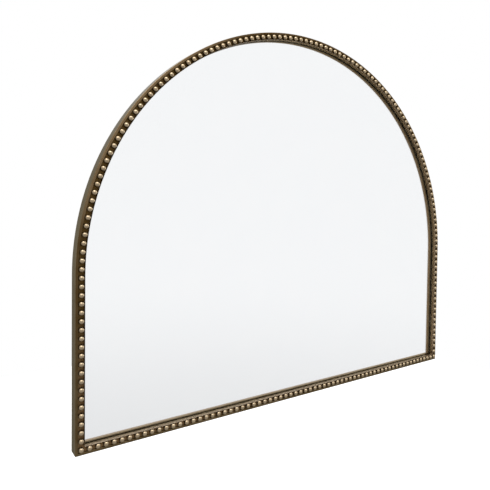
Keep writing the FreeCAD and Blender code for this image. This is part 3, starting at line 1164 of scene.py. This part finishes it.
@dataclass
class Beading:
    """The two rows of domed beads on their thin carrier strips."""

    kit: Kit
    line: BeadLine
    bead_radius: float
    carrier_front: float = 3.0
    carrier_back: float = 4.0
    carrier_round: float = 0.2
    foot_sink: float = 0.4
    lift: float = 0.2
    unevenness: float = 0.025
    arch_pitch: float = 17.0
    rail_pitch: float = 16.5
    segments: int = 14
    rings: int = 7
    crease: float = 60.0

    def bead(self) -> Mesh:
        """One ball bead, cut off just inside its carrier, its middle lifted before the rims at the origin."""
        radius = self.bead_radius
        low = -math.asin((self.carrier_front + self.foot_sink + self.lift) / radius)
        profile = []
        for ring in range(self.rings):
            angle = low + (math.pi / 2 - low) * ring / self.rings
            profile.append((radius * math.cos(angle), -self.lift - radius * math.sin(angle)))
        profile.append((0.0, -self.lift - radius))
        return shaded(lathe("bead", profile, self.segments), self.crease)

    def carrier(self) -> Section:
        """Section of the strip under the beads."""
        side = self.bead_radius
        return Section([
            (-side, self.carrier_front, self.carrier_round),
            (side, self.carrier_front, self.carrier_round),
            (side, self.carrier_back, 0.0),
            (-side, self.carrier_back, 0.0),
        ])

    def row(self, name: str, path: list[Station], pitch: float, ends: bool, finish: Material) -> Mesh:
        """One row of beads with its carrier.

        Args:
            name: Name of the mesh.
            path: Stations of the row.
            pitch: Distance between beads that the even spacing comes nearest to.
            ends: Whether beads stand on the row's two ends.
            finish: Material of the row.

        Returns:
            The mesh.
        """
        points = [station.at(0.0, self.line.rim_y) for station in path]
        length = sum((after - before).length for before, after in zip(points, points[1:])) / MM
        edges = [(index, index + 1) for index in range(len(points) - 1)]
        start = mesh_from(name + "_line", points, [], edges)
        values = {
            "Bead": self.bead(),
            "Spaces": round(length / pitch),
            "Ends": ends,
            "Unevenness": self.unevenness,
            "Finish": finish,
        }
        beads = self.kit.beading.grow(name + "_beads", start, values)
        strip = self.kit.along(name + "_strip", path, self.line.rim_y, self.carrier(), finish)
        return joined(name, [strip, beads])

    def build(self, finish: Material) -> None:
        """Build both rows.

        Args:
            finish: Their bronze.
        """
        for name, node, path, pitch, ends in (
            ("arch_beading", "arch_bead_strip", self.line.arch(), self.arch_pitch, False),
            ("bottom_beading", "bottom_bead_strip", self.line.rail(), self.rail_pitch, True),
        ):
            install(name, self.row(name, path, pitch, ends, finish), "mirror", [node])


@dataclass
class Glazing:
    """The silvered glass and the foam tape that it beds on."""

    kit: Kit
    line: BeadLine
    glass_offset: float
    tape_inner: float
    tape_width: float = TAPE_WIDTH
    tape_round: float = 0.12
    tape_hold: float = 0.04
    seam: float = 0.4
    silver_cover: float = 0.05

    def __post_init__(self) -> None:
        """Take the depths from the solids; the silver stands clear of the foam behind it."""
        self.tape_front, self.glass_front = depths("glazing_tape", self.line.rim_y)
        self.glass_back = depths("mirror_glass", self.line.rim_y)[1] - self.silver_cover

    def plate(self, name: str, offset: float, front: float, back: float, arris: float) -> Mesh:
        """Flat arched plate with a bevelled edge.

        Args:
            name: Name of the mesh.
            offset: Offset of its edge from the bead line.
            front: Depth of its face.
            back: Depth of its back.
            arris: Width of the bevel.

        Returns:
            The mesh; its last face is the back and the one before it the front.
        """
        path = self.line.arch()
        inner = offset - arris
        rings = [(inner, front), (offset, front + arris), (offset, back - arris), (inner, back)]
        points = [station.at(reach, self.line.rim_y + depth) for reach, depth in rings for station in path]
        count, faces = len(path), []
        for near in range(0, len(points) - count, count):
            for index in range(count):
                after = (index + 1) % count
                faces.append((near + index, near + after, near + count + after, near + count + index))
        faces.append(tuple(range(count)))
        faces.append(tuple(reversed(range(len(points) - count, len(points)))))
        return shaded(edited(mesh_from(name, points, faces), close))

    def build(self, clear: Material, silver: Material, tape: Material) -> None:
        """Build the glass with its silvered back, and the tape.

        Args:
            clear: Finish of the glass.
            silver: Finish of its back.
            tape: Finish of the tape.
        """
        glass = self.plate("silvered_glass", self.glass_offset, self.glass_front, self.glass_back, self.seam)
        glass.materials.append(clear)
        glass.materials.append(silver)
        glass.polygons[-1].material_index = 1
        install("silvered_glass", glass, "mirror", ["mirror_glass"])
        tape_outer = self.tape_inner + self.tape_width
        section = Section([
            (self.tape_inner, self.tape_front, self.tape_round),
            (tape_outer, self.tape_front, 0.0),
            (tape_outer, self.glass_front, 0.0),
            (self.tape_inner, self.glass_front, self.tape_round),
        ], hold=self.tape_hold)
        paths = (self.line.arch(), self.line.rail())
        loops = [self.kit.along("tape", path, self.line.rim_y, section, tape) for path in paths]
        install("bedding_tape", joined("bedding_tape", loops), "mirror", ["glazing_tape"])


@dataclass
class Backing:
    """The board behind the glass, the tabs that hold it in, and the plates across the mitres."""

    kit: Kit
    line: BeadLine
    glazing: Glazing
    nodes: dict[str, Object]
    board_offset: float
    arris: float = 0.5
    tab_width: float = 22.0
    tab_thickness: float = 1.5
    tab_board_leg: float = 17.0
    tab_wall_leg: float = 8.0
    bend_radius: float = 1.2
    sheared_round: float = 0.25
    sheared_hold: float = 0.1
    plate_round: float = 0.3

    def __post_init__(self) -> None:
        """Take the board's depths from its solid."""
        self.board_front, self.board_back = depths("backing_board", self.line.rim_y)

    def board(self, paint: Material, raw: Material) -> None:
        """Build the arched board, painted on its face and raw on its edge.

        Args:
            paint: Finish of its faces.
            raw: Finish of its edge.
        """
        faces = (self.board_front, self.board_back)
        mesh = self.glazing.plate("backing_panel", self.board_offset, *faces, self.arris)
        mesh.materials.append(paint)
        mesh.materials.append(raw)
        sides = len(self.line.arch())
        for index in range(sides, 2 * sides):
            mesh.polygons[index].material_index = 1
        install("backing_panel", mesh, "mirror", ["backing_board"])

    def tab(self) -> Mesh:
        """One folded tab at the origin, its foot against the wall at +Z and its long leg towards -Z."""
        thick, bend, edge = self.tab_thickness, self.bend_radius, self.sheared_round
        outline = Section([
            (0.0, 0.0, bend + thick),
            (self.tab_wall_leg, 0.0, edge),
            (self.tab_wall_leg, -thick, edge),
            (thick, -thick, bend),
            (thick, -self.tab_board_leg, edge),
            (0.0, -self.tab_board_leg, edge),
        ], hold=self.sheared_hold).points()
        half, count = self.tab_width / 2, len(outline)
        points = [Vector((x, y, z)) * MM for x in (-half, half) for y, z in outline]
        turns = [(index, (index + 1) % count) for index in range(count)]
        faces = [(near, after, count + after, count + near) for near, after in turns]
        faces += [tuple(range(count)), tuple(range(count, 2 * count))]
        return edited(mesh_from("tab", points, faces), close)

    def tab_places(self, node: str) -> Places:
        """Find the tabs of a group from its solids.

        Args:
            node: The group's solid.

        Returns:
            Foot and outward direction of each tab.
        """
        places = []
        work = bmesh.new()
        work.from_mesh(self.nodes[node].data)
        bmesh.ops.remove_doubles(work, verts=work.verts, dist=SOLID_WELD * MM)
        left = set(work.verts)
        while left:
            island, fresh = set(), [left.pop()]
            while fresh:
                vert = fresh.pop()
                island.add(vert)
                near = {edge.other_vert(vert) for edge in vert.link_edges} & left
                left -= near
                fresh += near
            corners = [Vector(corner) for corner in sorted(tuple(vert.co) for vert in island)]
            middle = sum(corners, Vector()) / len(corners)
            outward = self.line.outward(middle.x / MM, middle.z / MM)
            reach = max(corner.dot(outward) for corner in corners) - middle.dot(outward)
            foot = middle + outward * reach
            foot.y = (self.line.rim_y + self.board_back) * MM
            places.append((foot, outward))
        work.free()
        return sorted(places, key=lambda place: tuple(place[0]))

    def build(self, paint: Material, raw: Material, zinc: Material, foam: Material) -> None:
        """Build the board, the tabs, the corner plates and the foam between glass and board.

        Args:
            paint: Finish of the board's faces.
            raw: Finish of its edge.
            zinc: Finish of the steel.
            foam: Finish of the foam.
        """
        self.board(paint, raw)
        for zone in ("left_stile", "right_stile", "bottom_rail", "arch"):
            name, node = zone + "_retainers", zone + "_tabs"
            mesh = self.kit.patterned(name, self.tab(), self.tab_places(node), zinc)
            install(name, mesh, "mirror", [node])
        for side in Side:
            gusset = self.nodes[side.label + "_corner_gusset"]
            install_sheet(side.label + "_mitre_plate", gusset, self.plate_round, zinc)
        dress(self.nodes["foam_tape_strips"], foam)


@dataclass(frozen=True)
class PanScrew:
    """Pan head screw with a thread, a point and a cross recess.

    The head's side has (inset, height) points, and its top has shares of the head's radius and height.
    """

    head_radius: float = 3.2
    head_height: float = 1.8
    radius: float = 1.5
    length: float = 8.0
    point: float = 1.2
    point_share: float = 0.45
    thread_start: float = 1.6
    thread_pitch: float = 1.05
    thread_rise: float = 0.5
    thread_turns: int = 5
    root_share: float = 0.78
    neck_share: float = 0.8
    neck: float = 0.4
    head_side: tuple[Pair, ...] = ((0.25, 0.0), (0.0, 0.3), (0.096, 0.75))
    head_shares: tuple[Pair, ...] = ((0.86, 0.72), (0.66, 0.9), (0.35, 0.985), (0.0, 1.0))
    recess: Triple = (3.4, 2.4, 0.72)
    recess_taper: float = 0.55
    segments: int = 24

    def profile(self) -> list[Pair]:
        """(radius, y) pairs from the point to the middle of the head."""
        shank, neck = self.radius, self.neck_share * self.radius
        points = [(0.0, -self.length), (self.point_share * shank, self.point - self.length)]
        for turn in range(self.thread_turns):
            y = self.thread_start - self.length + turn * self.thread_pitch
            points += [(self.root_share * shank, y), (shank, y + self.thread_rise)]
        points += [(neck, -self.neck), (neck, 0.0)]
        points += [(self.head_radius - inset, height) for inset, height in self.head_side]
        points += [(across * self.head_radius, up * self.head_height) for across, up in self.head_shares]
        return points

    def cutter(self, turned: float) -> Object:
        """Make one bar of the cross recess.

        Args:
            turned: Its angle about the screw's axis.

        Returns:
            The bar, at the top of the head.
        """
        work = bmesh.new()
        bmesh.ops.create_cube(work, size=1.0)
        length, depth, width = self.recess
        for vert in work.verts:
            taper = self.recess_taper if vert.co.y < 0 else 1.0
            vert.co = Vector((vert.co.x * length * taper, vert.co.y * depth, vert.co.z * width * taper)) * MM
        bmesh.ops.rotate(work, verts=work.verts, matrix=Matrix.Rotation(turned, 3, "Y"))
        mesh = bpy.data.meshes.new("recess")
        work.to_mesh(mesh)
        work.free()
        mesh.transform(Matrix.Translation(Vector((0.0, self.head_height, 0.0)) * MM))
        return new_object("recess", mesh)

    def mesh(self) -> Mesh:
        """The screw at the origin, its head towards +Y."""
        body = new_object("screw_body", lathe("screw", self.profile(), self.segments))
        cutters = [self.cutter(turned) for turned in (0.0, math.pi / 2)]
        for cutter in cutters:
            cut = body.modifiers.new("recess", "BOOLEAN")
            cut.operation, cut.object, cut.solver = "DIFFERENCE", cutter, "EXACT"
        mesh = with_modifier(body, "screw")
        for cutter in cutters:
            bpy.data.objects.remove(cutter)
        return mesh


@dataclass
class Hanger:
    """One hanging point: plate, folded strap, screws, wire ring and the two bumpers of its side.

    The bumper's foot has (inset, height) points and its face (inset, drop) points.
    """

    kit: Kit
    side: Side
    nodes: dict[str, Object]
    fixing: PanScrew = PanScrew()
    fixing_turn: Triple = (0.3, 0.0, 1.0)
    plate_round: float = 0.35
    strap_round: float = 0.12
    strap_sheet: float = 1.0
    eye_lift: float = 0.56
    wire_radius: float = 1.5
    wire_flats: int = 8
    corner_radius: float = 3.5
    bow_steps: int = 24
    bumper_flats: int = 16
    bumper_segments: int = 40
    bumper_foot: tuple[Pair, ...] = ((0.0, 0.0), (0.0, 0.5), (0.15, 0.9))
    bumper_face: tuple[Pair, ...] = (
        (0.8, 1.1), (1.15, 0.45), (1.8, 0.06), (2.6, 0.0), (3.6, 0.25), (4.6, 0.7),
    )
    bumper_dish: float = 0.8
    crease: float = 50.0

    def name(self, piece: str) -> str:
        """Name of one of this side's solids or pieces."""
        return self.side.label + "_" + piece

    def screw_places(self, node: str) -> Places:
        """Find the screws of a group from its solids.

        Args:
            node: The group's solid.

        Returns:
            Seat and direction of each screw.
        """
        low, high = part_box(node)
        step = self.fixing.head_radius * MM
        turn = Vector(self.fixing_turn).normalized()
        xs, zs = (low.x + step, high.x - step), (low.z + step, high.z - step)
        places = []
        for x, z in sorted({(round(x, 5), round(z, 5)) for x in xs for z in zs}):
            corners = [vert.co for vert in self.nodes[node].data.vertices]
            near = [corner.y for corner in corners if abs(corner.x - x) < step and abs(corner.z - z) < step]
            if near:
                places.append((Vector((x, max(near) - self.fixing.head_height * MM, z)), turn))
        return places

    def ring(self, finish: Material) -> None:
        """Build the wire ring in the strap's eye.

        Args:
            finish: Its nickel.
        """
        node = self.name("d_ring")
        low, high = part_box(node)
        middle, wire = (low.x + high.x) / 2, self.wire_radius * MM
        flat = math.cos(math.pi / self.wire_flats)
        half = round((high.x - low.x) / 2 / MM - self.wire_radius * flat, 1) * MM
        plate_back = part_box(self.name("hanger_plate"))[1].y
        eye = plate_back + (self.strap_sheet + self.eye_lift + self.wire_radius) * MM
        top, bottom = high.z - wire * flat, low.z + wire * flat
        points = [Vector((middle - half, eye, top)), Vector((middle + half, eye, top))]
        for step in range(self.bow_steps + 1):
            angle = math.pi * step / self.bow_steps
            x, z = middle + half * math.cos(angle), bottom + half - half * math.sin(angle)
            points.append(Vector((x, eye, z)))
        edges = [(index, (index + 1) % len(points)) for index in range(len(points))]
        start = mesh_from(node + "_line", points, [], edges)
        values = {"Corner Radius": self.corner_radius * MM, "Wire Radius": wire, "Finish": finish}
        name = self.name("wire_ring")
        mesh = shaded(edited(self.kit.wire.grow(name, start, values), close), self.crease)
        install(name, mesh, self.name("ring"), [node])

    def bumper(self, level: str, finish: Material) -> None:
        """Build one rubber bumper with a rounded face and a dished middle.

        Args:
            level: Word for its height on the mirror.
            finish: Its rubber.
        """
        name = level + "_" + self.side.label
        node = name + "_bumper"
        low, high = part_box(node)
        rise = high.y / MM - low.y / MM
        base = (high.x - low.x) / 2 / MM / math.cos(math.pi / self.bumper_flats)
        profile = [(0.0, 0.0), *((base - inset, height) for inset, height in self.bumper_foot)]
        profile += [(base - inset, rise - drop) for inset, drop in self.bumper_face]
        profile.append((0.0, rise - self.bumper_dish))
        mesh = shaded(lathe(node, profile, self.bumper_segments), self.crease)
        mesh.transform(Matrix.Translation(Vector(((low.x + high.x) / 2, low.y, (low.z + high.z) / 2))))
        mesh.materials.append(finish)
        install(name + "_pad", mesh, "mirror", [node])

    def build(self, zinc: Material, screw: Material, nickel: Material, rubber: Material) -> None:
        """Build every piece of this side's hanger.

        Args:
            zinc: Finish of plate and strap.
            screw: Finish of the screws.
            nickel: Finish of the ring.
            rubber: Finish of the bumpers.
        """
        for piece, width in (("plate", self.plate_round), ("strap", self.strap_round)):
            install_sheet(self.name(piece), self.nodes[self.name("hanger_" + piece)], width, zinc)
        for piece in ("plate", "strap"):
            name, node = self.name(piece + "_fixings"), self.name(piece + "_screws")
            mesh = self.kit.patterned(name, self.fixing.mesh(), self.screw_places(node), screw)
            install(name, mesh, "mirror", [node])
        self.ring(nickel)
        for level in ("lower", "upper"):
            self.bumper(level, rubber)


# Studio


@dataclass(frozen=True)
class Lamp:
    """A soft rectangular lamp, with its place and size in metres and its power in watts."""

    name: str
    place: Triple
    size: Pair
    power: float
    colour: Colour = WHITE


@dataclass
class Studio:
    """White surroundings, a pale floor, soft lamps and the photograph's camera.

    The sky has a level, and bands of (height, height, gain): going from the first height of a ray's
    direction to the second adds the gain.
    """

    rim_y: float
    bead_z: float
    edge_z: float
    sky_level: float = 0.95
    sky_bands: tuple[Triple, ...] = (
        (-0.15, -0.5, -0.15), (0.42, 0.65, 1.7), (-0.5, -0.8, -0.15),
    )
    light_level: float = 0.75
    floor_drop: float = 700.0
    floor_reach: float = 2600.0
    floor_noise: Noise = (40.0, 4.0)
    floor_tones: tuple[Colour, Colour] = ((0.8, 0.8, 0.8), (0.84, 0.84, 0.84))
    floor_glow: float = 0.45
    lamp_aim: Triple = (0.0, 0.0, -0.15)
    eye: Triple = (-820.7, -961.8, 492.9)
    yaw: float = 0.58791
    pitch: float = -0.02887
    roll: float = 0.01236
    focal_pixels: float = 487.20
    axis_row: float = 215.62
    image_pixels: float = 490.0
    sensor: float = 36.0
    sight: Pair = (0.05, 50.0)
    lamps: tuple[Lamp, ...] = (
        Lamp("key_lamp", (-1.1, -1.2, 2.8), (2.0, 1.2), 54.0, (1.0, 0.98, 0.96)),
        Lamp("fill_lamp", (3.0, -0.7, 0.4), (1.6, 1.6), 24.0),
        Lamp("back_lamp", (1.9, 2.2, 1.0), (1.6, 1.6), 30.0),
    )

    def surroundings(self) -> None:
        """White world for the eye, with the sky's bands for mirror and metal, and dimmer for light."""
        world = bpy.data.worlds.new("white_studio")
        world.use_nodes = True
        graph = Graph(world.node_tree)
        graph.tree.nodes.clear()
        height = graph.coordinate(graph.wire("ShaderNodeTexCoord", output="Generated"), "Z")
        seen = self.sky_level
        for start, end, gain in self.sky_bands:
            seen = seen + gain * graph.smooth(height, start, end)
        shown = graph.mirrored()
        camera = graph.wire("ShaderNodeLightPath", output="Is Camera Ray")
        strength = camera + (1.0 - camera) * (shown * seen + (1.0 - shown) * self.light_level)
        back = graph.wire("ShaderNodeBackground", {"Color": (*WHITE, 1.0), "Strength": strength})
        graph.node("ShaderNodeOutputWorld", {"Surface": back})
        bpy.context.scene.world = world

    def floor(self) -> None:
        """Pale floor below the mirror; mirror and metal look through it to the white surroundings."""
        reach, z = self.floor_reach * MM, (self.edge_z - self.floor_drop) * MM
        corners = [Vector((x * reach, y * reach, z)) for x, y in ((-1, -1), (1, -1), (1, 1), (-1, 1))]
        floor = new_object("pale_floor", mesh_from("pale_floor", corners, [(0, 1, 2, 3)]))
        recipe = Recipe("pale_floor")
        colour = recipe.blend(recipe.noise(*self.floor_noise), *self.floor_tones)
        matt = recipe.wire("ShaderNodeBsdfDiffuse", {"Color": colour})
        glow = recipe.wire("ShaderNodeEmission", {"Color": (*WHITE, 1.0), "Strength": self.floor_glow})
        lifted = recipe.wire("ShaderNodeAddShader", {0: matt, 1: glow})
        clear = recipe.wire("ShaderNodeBsdfTransparent")
        mixed = recipe.wire("ShaderNodeMixShader", {0: recipe.mirrored(), 1: lifted, 2: clear})
        recipe.node("ShaderNodeOutputMaterial", {"Surface": mixed})
        floor.data.materials.append(recipe.material)

    def light(self) -> None:
        """Soft lamps, all turned to the middle of the mirror."""
        for lamp in self.lamps:
            data = bpy.data.lights.new(lamp.name, "AREA")
            data.shape = "RECTANGLE"
            data.size, data.size_y = lamp.size
            data.energy = lamp.power
            data.color = lamp.colour
            made = bpy.data.objects.new(lamp.name, data)
            made.location = lamp.place
            made.visible_transmission = False
            aim = Vector(self.lamp_aim) - Vector(lamp.place)
            made.rotation_euler = aim.to_track_quat("-Z", "Y").to_euler()
            bpy.context.scene.collection.objects.link(made)

    def camera(self) -> None:
        """The camera at the photograph's viewing angle."""
        data = bpy.data.cameras.new("viewer")
        data.sensor_width = self.sensor
        data.lens = self.sensor * self.focal_pixels / self.image_pixels
        data.shift_y = (self.axis_row - self.image_pixels / 2) / self.image_pixels
        data.clip_start, data.clip_end = self.sight
        ahead = math.cos(self.pitch)
        forward = Vector((math.sin(self.yaw) * ahead, math.cos(self.yaw) * ahead, math.sin(self.pitch)))
        level = Vector((math.cos(self.yaw), -math.sin(self.yaw), 0.0))
        upright = level.cross(forward)
        right = math.cos(self.roll) * level + math.sin(self.roll) * upright
        up = math.cos(self.roll) * upright - math.sin(self.roll) * level
        viewer = bpy.data.objects.new("viewer", data)
        turn = Matrix((right, up, -forward)).transposed().to_4x4()
        place = Vector((self.eye[0], self.rim_y + self.eye[1], self.bead_z + self.eye[2])) * MM
        viewer.matrix_world = Matrix.Translation(place) @ turn
        bpy.context.scene.collection.objects.link(viewer)
        bpy.context.scene.camera = viewer

    def build(self) -> None:
        """Build the studio."""
        bpy.context.scene.view_settings.view_transform = "Standard"
        self.surroundings()
        self.floor()
        self.light()
        self.camera()


def main() -> None:
    """Build the mirror round the frame, from the frame bars to the hangers, and then its studio."""
    logging.basicConfig(level=logging.INFO, format="%(message)s")
    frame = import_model()
    nodes = frame["nodes"]
    bar_low, bar_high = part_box("arch_frame_bar")
    rim_y = bar_low.y / MM + LIP_RISE
    bead_radius = round(rim_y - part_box("arch_bead_strip")[0].y / MM - BEAD_LIFT, 2)
    trough_side = bead_radius + SIDE_GAP
    outer_face = trough_side + bar_high.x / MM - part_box("backing_board")[1].x / MM - BOARD_GAP
    half_width = bar_high.x / MM - outer_face
    inner_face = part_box("glazing_tape")[1].x / MM - half_width - TAPE_SETBACK - TAPE_WIDTH
    bottom_z, spring_z = bar_low.z / MM + outer_face, bar_high.z / MM - bar_high.x / MM
    line = BeadLine(half_width, bottom_z, spring_z, rim_y)
    kit = Kit(sweep_tree(), beading_tree(), pattern_tree(), wire_tree())
    bronze, bead_bronze = (
        AgedBronze(name, rim_y, bottom_z, trough_side, bead_radius).material()
        for name in ("frame_bronze", "bead_bronze")
    )
    zinc, screw, nickel = (finish.material() for finish in (ZINC_SHEET, SCREW_ZINC, NICKEL_WIRE))
    FrameBars(kit, line, trough_side, outer_face, inner_face, bar_high.y / MM - rim_y).build(bronze)
    Beading(kit, line, bead_radius).build(bead_bronze)
    glazing = Glazing(kit, line, trough_side - GLASS_GAP, inner_face + TAPE_SETBACK)
    glazing.build(FloatGlass().material(), Silvering().material(), DARK_FOAM.material())
    backing = Backing(kit, line, glazing, nodes, trough_side - BOARD_GAP)
    backing.build(PaintedBoard().material(), RawEdge().material(), zinc, WHITE_FOAM.material())
    rubber = Rubber().material()
    for side in Side:
        Hanger(kit, side, nodes).build(zinc, screw, nickel, rubber)
    Studio(rim_y, bottom_z, bar_low.z / MM).build()


if __name__ == "__main__":
    main()
